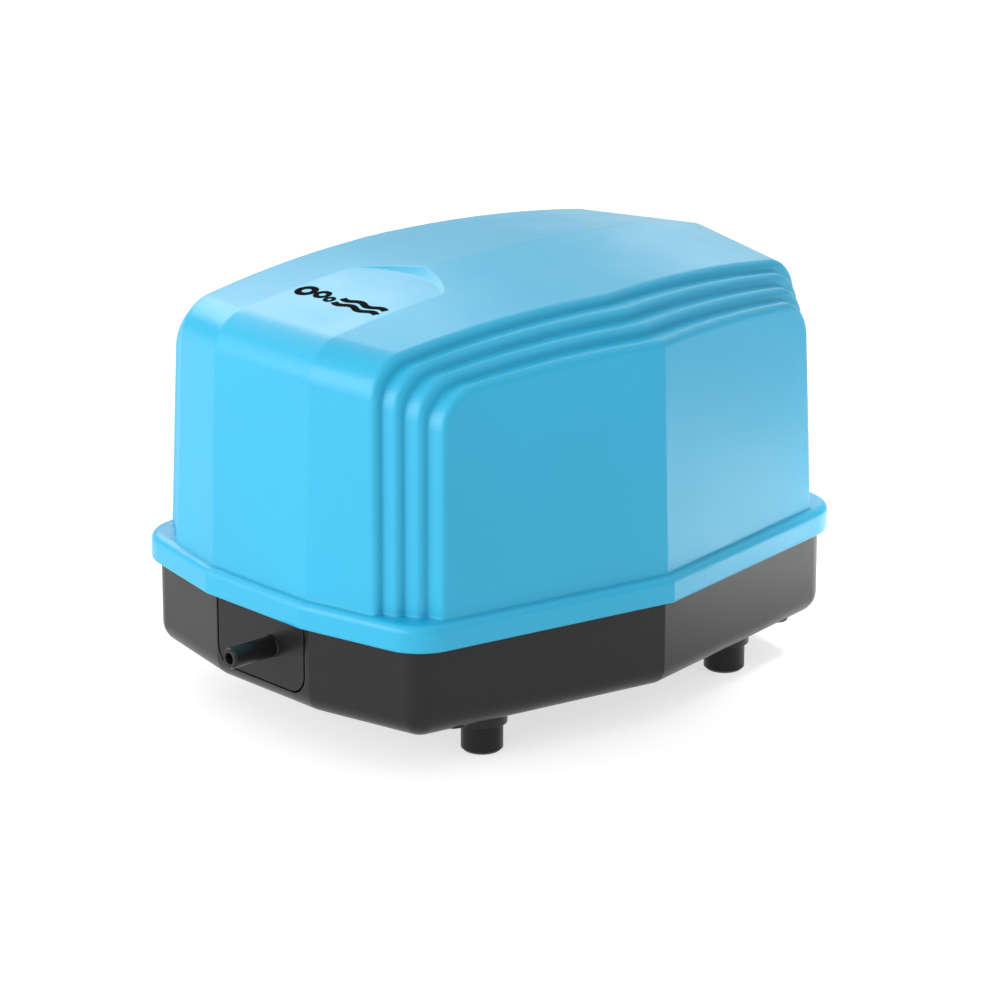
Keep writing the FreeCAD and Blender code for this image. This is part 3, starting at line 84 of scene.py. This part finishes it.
class Graph:
    """A material's node tree, with short ways to add and join nodes."""

    def __init__(self, name):
        self.material = bpy.data.materials.new(name)
        self.material.use_nodes = True
        self.tree = self.material.node_tree
        self.shader = self.tree.nodes["Principled BSDF"]
        self.place = self.add("ShaderNodeTexCoord").outputs["Object"]

    def add(self, kind, **settings):
        node = self.tree.nodes.new(kind)
        for key, value in settings.items():
            setattr(node, key, value)
        return node

    def link(self, source, target):
        self.tree.links.new(source, target)

    def noise(self, scale, detail=3.0, rough=0.5, stretch=None):
        node = self.add("ShaderNodeTexNoise")
        node.inputs["Scale"].default_value = scale
        node.inputs["Detail"].default_value = detail
        node.inputs["Roughness"].default_value = rough
        if stretch is None:
            self.link(self.place, node.inputs["Vector"])
        else:
            mapping = self.add("ShaderNodeMapping")
            mapping.inputs["Scale"].default_value = stretch
            self.link(self.place, mapping.inputs["Vector"])
            self.link(mapping.outputs["Vector"], node.inputs["Vector"])
        return node.outputs["Fac"]

    def span(self, value, low, high, start=0.3, end=0.7):
        """Map a value between start and end onto low to high."""
        node = self.add("ShaderNodeMapRange")
        for key, number in (("From Min", start), ("From Max", end),
                            ("To Min", low), ("To Max", high)):
            node.inputs[key].default_value = number
        self.link(value, node.inputs["Value"])
        return node.outputs["Result"]

    def blend(self, factor, first, second):
        """Mix two colours, each a tuple or a socket."""
        node = self.add("ShaderNodeMix", data_type="RGBA")
        self.link(factor, node.inputs[0])
        for source, target in ((first, node.inputs[6]), (second, node.inputs[7])):
            if isinstance(source, tuple):
                target.default_value = source + (1.0,)
            else:
                self.link(source, target)
        return node.outputs[2]

    def edges(self, radius):
        """About 1 on sharp edges and 0 on flat faces."""
        bevel = self.add("ShaderNodeBevel", samples=4)
        bevel.inputs["Radius"].default_value = radius
        flat = self.add("ShaderNodeNewGeometry")
        dot = self.add("ShaderNodeVectorMath", operation="DOT_PRODUCT")
        self.link(bevel.outputs["Normal"], dot.inputs[0])
        self.link(flat.outputs["Normal"], dot.inputs[1])
        return self.span(dot.outputs["Value"], 1.0, 0.0, 0.8, 0.995)

    def bump(self, height, strength, distance, round_edges=0.0):
        node = self.add("ShaderNodeBump")
        node.inputs["Strength"].default_value = strength
        node.inputs["Distance"].default_value = distance
        self.link(height, node.inputs["Height"])
        if round_edges > 0:
            bevel = self.add("ShaderNodeBevel", samples=6)
            bevel.inputs["Radius"].default_value = round_edges
            self.link(bevel.outputs["Normal"], node.inputs["Normal"])
        self.link(node.outputs["Normal"], self.shader.inputs["Normal"])


def moulded(name, colour, roughness=0.45, variation=0.1, grain=1200.0, grain_depth=0.00002,
            wear=0.25, coat=0.0, specular=0.5, round_edges=0.0, metallic=0.0, stretch=None):
    """A moulded or machined surface with cloudy colour, fine grain and lighter worn edges."""
    g = Graph(name)
    darker = tuple(c * (1.0 - variation) for c in colour)
    lighter = tuple(min(1.0, c * (1.0 + variation)) for c in colour)
    cloud = g.span(g.noise(14.0, 4.0), 0.0, 1.0)
    base = g.blend(cloud, darker, lighter)
    worn = tuple(c + (1.0 - c) * 0.35 for c in colour)
    scuff = g.span(g.noise(160.0, 5.0, 0.7), 0.0, 1.0, 0.5, 0.72)
    edge = g.add("ShaderNodeMath", operation="MULTIPLY")
    g.link(g.edges(0.0006), edge.inputs[0])
    g.link(scuff, edge.inputs[1])
    amount = g.span(edge.outputs["Value"], 0.0, wear, 0.0, 1.0)
    g.link(g.blend(amount, base, worn), g.shader.inputs["Base Color"])
    g.link(g.span(g.noise(38.0, 5.0, 0.6, stretch), roughness * 0.88, roughness * 1.12),
           g.shader.inputs["Roughness"])
    g.bump(g.noise(grain, 2.0, 0.5, stretch), 0.35, grain_depth, round_edges)
    g.shader.inputs["Metallic"].default_value = metallic
    g.shader.inputs["Specular IOR Level"].default_value = specular
    g.shader.inputs["Coat Weight"].default_value = coat
    g.shader.inputs["Coat Roughness"].default_value = 0.12
    return g.material


FINISHES = {
    "cover_blue": dict(colour=(0.012, 0.335, 0.54), roughness=0.32, variation=0.03, grain=1400.0,
                       grain_depth=0.000012, wear=0.12, specular=0.45, round_edges=0.0015),
    "tray_grey": dict(colour=(0.004, 0.004, 0.0042), roughness=0.32, grain=1600.0, wear=0.1,
                      specular=0.33, round_edges=0.0008),
    "black_plastic": dict(colour=(0.009, 0.009, 0.0095), roughness=0.34, grain_depth=0.00001,
                          wear=0.1, specular=0.25, round_edges=0.0005),
    "black_rubber": dict(colour=(0.006, 0.006, 0.006), roughness=0.36, variation=0.12,
                         grain=1500.0, grain_depth=0.00003, wear=0.1, specular=0.22,
                         round_edges=0.0005),
    "grey_rubber": dict(colour=(0.1, 0.1, 0.105), roughness=0.6, grain=1500.0,
                        grain_depth=0.00004, wear=0.1),
    "zinc_steel": dict(colour=(0.55, 0.56, 0.58), roughness=0.32, variation=0.08, grain=700.0,
                       grain_depth=0.00001, wear=0.3, metallic=1.0),
    "lamination": dict(colour=(0.26, 0.26, 0.27), variation=0.12, grain=900.0,
                       grain_depth=0.00008, wear=0.3, metallic=1.0, stretch=(0.02, 0.02, 1.0)),
    "winding": dict(colour=(0.5, 0.17, 0.05), roughness=0.32, variation=0.12, grain=700.0,
                    grain_depth=0.0001, wear=0.1, coat=0.4, metallic=0.6,
                    stretch=(0.02, 1.0, 0.02)),
    "magnet": dict(colour=(0.07, 0.07, 0.075), roughness=0.38, grain=900.0,
                   grain_depth=0.00003, wear=0.3, metallic=0.5),
    "frame_alloy": dict(colour=(0.5, 0.51, 0.53), variation=0.08, grain=800.0,
                        grain_depth=0.00006, wear=0.3, metallic=1.0),
    "white_plastic": dict(colour=(0.7, 0.69, 0.64), variation=0.04),
    "head_plastic": dict(colour=(0.11, 0.115, 0.12), roughness=0.5, grain=1000.0,
                         grain_depth=0.00005),
    "foam": dict(colour=(0.06, 0.06, 0.065), roughness=0.9, variation=0.2, grain=1100.0,
                 grain_depth=0.0006, wear=0.0, specular=0.2),
    "ink": dict(colour=(0.002, 0.002, 0.002), roughness=0.85, grain=1500.0,
                grain_depth=0.00001, wear=0.0, specular=0.03),
    "lead_red": dict(colour=(0.42, 0.025, 0.02), roughness=0.4, variation=0.08, grain=900.0),
}
MATERIALS = {name: moulded(name, **finish) for name, finish in FINISHES.items()}
for label, obj in NODES.items():
    obj.data.materials.clear()
    obj.data.materials.append(MATERIALS[SLOT_OF[label]])


# ---------------------------------------------------------------- diaphragms

DISC_RADIUS = 0.020
CHAMBER_RADIUS = 0.030
BEND_MARGIN = 0.0003
FOLD_RADIUS = 0.025
FOLD_DEEP = 0.0015
ROUND_STEPS = 120


def diaphragm_profile(bore, rim, thick):
    """Closed (radius, depth) outline of half a diaphragm: depth 0 lies on the pump frame."""
    edge = 0.0003
    clamped = [bore + (DISC_RADIUS - bore) * i / 4 for i in range(5)]
    fold = []
    for i in range(13):
        turn = math.pi * i / 12
        fold.append((FOLD_RADIUS - FOLD_DEEP * math.cos(turn), FOLD_DEEP * math.sin(turn)))
    inner = [(radius, 0.0) for radius in clamped]
    inner += [(DISC_RADIUS + 0.001 * i, 0.0) for i in (1, 2, 3)]
    inner += fold
    inner += [(CHAMBER_RADIUS - 0.001 * i, 0.0) for i in (3, 2, 1, 0)]
    inner += [(rim - edge, 0.0), (rim, edge)]
    outer = [(rim, thick - edge), (rim - edge, thick)]
    outer += [(CHAMBER_RADIUS - 0.001 * i, thick) for i in range(11)]
    outer += [(radius, thick) for radius in reversed(clamped[:-1])]
    return inner + outer


def turned(name, profile, middle, out):
    """A mesh turned about the X axis through middle, its depth running towards out (+1 or -1)."""
    count = len(profile)
    vertices = []
    faces = []
    for i in range(ROUND_STEPS):
        angle = math.tau * i / ROUND_STEPS
        for radius, depth in profile:
            vertices.append((middle.x + out * depth, middle.y + radius * math.cos(angle),
                             middle.z + radius * math.sin(angle)))
        here = count * i
        there = count * ((i + 1) % ROUND_STEPS)
        for k in range(count):
            n = (k + 1) % count
            faces.append((here + k, there + k, there + n, here + n))
    mesh = bpy.data.meshes.new(name)
    mesh.from_pydata(vertices, [], faces)
    shape = bmesh.new()
    shape.from_mesh(mesh)
    bmesh.ops.recalc_face_normals(shape, faces=shape.faces)
    shape.to_mesh(mesh)
    shape.free()
    mesh.shade_smooth()
    mesh.set_sharp_from_angle(angle=math.radians(30.0))
    return mesh


def bending_diaphragm(node):
    """A diaphragm whose rim stays in its clamp while its middle goes with the drive rod.

    It bends along its radius, so the shares that bake_transform sets along a line are set again by radius.
    """
    low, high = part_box(node)
    frame_low, frame_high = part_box("pump_frame")
    rod_low, rod_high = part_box("drive_rod")
    out = 1 if low.x + high.x > frame_low.x + frame_high.x else -1
    middle = Vector((low.x if out > 0 else high.x, (low.y + high.y) / 2, (low.z + high.z) / 2))
    rim = (high.y - low.y) / 2
    bore = (rod_high.y - rod_low.y) / 2 + 0.00002
    mesh = turned(node + "_rubber", diaphragm_profile(bore, rim, high.x - low.x), middle, out)
    rubber = bpy.data.objects.new(node + "_rubber", mesh)
    bpy.context.scene.collection.objects.link(rubber)
    mesh.materials.append(MATERIALS[SLOT_OF[node]])
    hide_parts(node)
    fixed = CHAMBER_RADIUS - BEND_MARGIN
    moving = DISC_RADIUS + BEND_MARGIN
    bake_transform(rubber, "base", "armature", middle + Vector((0.0, fixed, 0.0)),
             middle + Vector((0.0, moving, 0.0)))
    shares = []
    for vertex in mesh.vertices:
        t = (fixed - (vertex.co - middle).yz.length) / (fixed - moving)
        t = min(1.0, max(0.0, t))
        shares.append(t * t * (3.0 - 2.0 * t))
    mesh.attributes["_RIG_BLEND"].data.foreach_set("value", shares)


bending_diaphragm("diaphragm_front")
bending_diaphragm("diaphragm_rear")


# ---------------------------------------------------------------- print on the cover's strip

COVER_LOW, COVER_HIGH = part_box("top_cover")
PRINT_X = COVER_LOW.x + 0.0422
LINE_WIDTH = 0.0026
INK_HIGH = 0.00008
INK_DEEP = 0.0001


def roof_height(x, y):
    """Height of the cover's roof above the point (x, y)."""
    above = Vector((x, y, COVER_HIGH.z + 0.05))
    return NODES["top_cover"].ray_cast(above, Vector((0.0, 0.0, -1.0)))[1].z


def stroke(points, width, closed):
    """Vertices and faces of a thin raised line of ink along (x, y) points on the roof."""
    count = len(points)
    vertices = []
    for i, point in enumerate(points):
        if closed:
            before, after = points[i - 1], points[(i + 1) % count]
        else:
            before, after = points[max(i - 1, 0)], points[min(i + 1, count - 1)]
        run = (after - before).normalized()
        across = Vector((-run.y, run.x)) * (width / 2)
        for side, lift in ((1, INK_HIGH), (-1, INK_HIGH), (-1, -INK_DEEP), (1, -INK_DEEP)):
            at = point + across * side
            vertices.append((at.x, at.y, roof_height(at.x, at.y) + lift))
    faces = []
    for i in range(count if closed else count - 1):
        here, there = 4 * i, 4 * ((i + 1) % count)
        for k in range(4):
            n = (k + 1) % 4
            faces.append((here + n, there + n, there + k, here + k))
    if not closed:
        last = 4 * (count - 1)
        faces.append((3, 2, 1, 0))
        faces.append((last, last + 1, last + 2, last + 3))
    return vertices, faces


def bubble(x, y, radius):
    """The middle line of a ring, x and y counted from the print's middle."""
    turns = [math.tau * i / 40 for i in range(40)]
    return [Vector((PRINT_X + x + radius * math.cos(turn), y + radius * math.sin(turn)))
            for turn in turns]


def wave(x, start, end, height, length):
    """A wavy line along Y from start to end."""
    count = 64
    line = []
    for i in range(count + 1):
        y = start + (end - start) * i / count
        line.append(Vector((PRINT_X + x + height * math.sin(math.tau * (y - start) / length), y)))
    return line


def cover_print():
    """Air bubbles rising over two waves, printed in black."""
    marks = [
        (bubble(0.0, 0.0180, 0.0031), LINE_WIDTH, True),
        (bubble(0.0006, 0.0101, 0.0024), 0.0021, True),
        (bubble(-0.0012, 0.0043, 0.0016), 0.0016, True),
    ]
    for x in (-0.0021, 0.0021):
        marks.append((wave(x, 0.0008, -0.0214, 0.0009, 0.0111), LINE_WIDTH, False))
    vertices = []
    faces = []
    for points, width, closed in marks:
        new_vertices, new_faces = stroke(points, width, closed)
        start = len(vertices)
        vertices.extend(new_vertices)
        faces.extend(tuple(start + i for i in face) for face in new_faces)
    mesh = bpy.data.meshes.new("cover_print")
    mesh.from_pydata(vertices, [], faces)
    mesh.validate()
    mark = bpy.data.objects.new("cover_print", mesh)
    bpy.context.scene.collection.objects.link(mark)
    mesh.materials.append(MATERIALS["ink"])
    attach(mark, "cover")


cover_print()


# ---------------------------------------------------------------- floor, lights and camera

FLOOR_GAP = 0.0002


def aim(obj, target):
    """Turns a light or camera at its place so that it looks at target."""
    obj.rotation_mode = "QUATERNION"
    obj.rotation_quaternion = (target - obj.location).to_track_quat("-Z", "Y")


def area_light(name, place, target, size, power):
    data = bpy.data.lights.new(name, "AREA")
    data.shape = "RECTANGLE"
    data.size, data.size_y = size
    data.energy = power
    light = bpy.data.objects.new(name, data)
    light.location = place
    aim(light, target)
    bpy.context.scene.collection.objects.link(light)
    return light


def pale_floor():
    """A pale floor under the feet: one large plane with a painted glow that fills in the pump's shadow on
    it.
    """
    size = 6.0
    mesh = bpy.data.meshes.new("floor")
    mesh.from_pydata([(-size, -size, 0), (size, -size, 0), (size, size, 0), (-size, size, 0)],
                     [], [(0, 1, 2, 3)])
    floor = bpy.data.objects.new("floor", mesh)
    bpy.context.scene.collection.objects.link(floor)
    floor.location.z = CAD_BOX[0].z - FLOOR_GAP
    g = Graph("glowing_floor_paint")
    g.link(g.blend(g.noise(3.0), (0.37, 0.37, 0.37), (0.38, 0.38, 0.38)),
           g.shader.inputs["Base Color"])
    # Painted glow: the floor emits light of its own, so the pump's shadow on it stays faint.
    g.shader.inputs["Emission Color"].default_value = (1.0, 1.0, 1.0, 1.0)
    g.shader.inputs["Emission Strength"].default_value = 0.68
    g.shader.inputs["Roughness"].default_value = 0.9
    g.shader.inputs["Specular IOR Level"].default_value = 0.1
    mesh.materials.append(g.material)


def studio_lights():
    """Three soft lights on the pump and a narrow one on the floor to its right."""
    middle = (CAD_BOX[0] + CAD_BOX[1]) / 2
    pump = Vector((middle.x, middle.y, 0.08))
    area_light("key_left", pump + Vector((-1.6, 0.35, 0.42)), pump, (2.2, 0.9), 24.5)
    area_light("back_strip", pump + Vector((0.36, 1.45, 0.85)), pump, (1.5, 0.4), 6.6)
    area_light("back_low", pump + Vector((1.34, 0.88, 0.44)), pump, (0.5, 0.35), 0.8)
    pool = area_light("floor_right", Vector((0.36, -0.2, 0.45)), Vector((0.265, -0.15, 0.0)),
                      (0.16, 0.16), 1.2)
    pool.data.spread = math.radians(40.0)


def studio_world():
    """White light from above and from the horizon, with a dimmer band between them."""
    world = bpy.data.worlds.new("studio")
    bpy.context.scene.world = world
    world.use_nodes = True
    tree = world.node_tree
    direction = tree.nodes.new("ShaderNodeTexCoord")
    height = tree.nodes.new("ShaderNodeSeparateXYZ")
    band = tree.nodes.new("ShaderNodeValToRGB")
    sky = tree.nodes["Background"]
    tree.links.new(direction.outputs["Generated"], height.inputs["Vector"])
    tree.links.new(height.outputs["Z"], band.inputs["Fac"])
    tree.links.new(band.outputs["Color"], sky.inputs["Color"])
    sky.inputs["Strength"].default_value = 1.12
    steps = band.color_ramp.elements
    while len(steps) < 4:
        steps.new(0.5)
    greys = ((0.05, 1.0), (0.1, 0.33), (0.19, 0.33), (0.42, 1.0))
    for step, (place, grey) in zip(steps, greys):
        step.position = place
        step.color = (grey, grey, grey, 1.0)


def studio_camera():
    """A long lens that looks down a little on the corner by the outlet."""
    azimuth = math.radians(-42.776)
    elevation = math.radians(18.066)
    distance = 1.61468
    target = Vector((0.00847, 0.0, 0.0631))
    back = Vector((math.sin(azimuth) * math.cos(elevation),
                   -math.cos(azimuth) * math.cos(elevation), math.sin(elevation)))
    data = bpy.data.cameras.new("camera")
    data.sensor_width = 36.0
    data.lens = 158.81
    camera = bpy.data.objects.new("camera", data)
    camera.location = target + back * distance
    aim(camera, target)
    bpy.context.scene.collection.objects.link(camera)
    bpy.context.scene.camera = camera


pale_floor()
studio_lights()
studio_world()
studio_camera()
bpy.context.scene.view_settings.view_transform = "Standard"
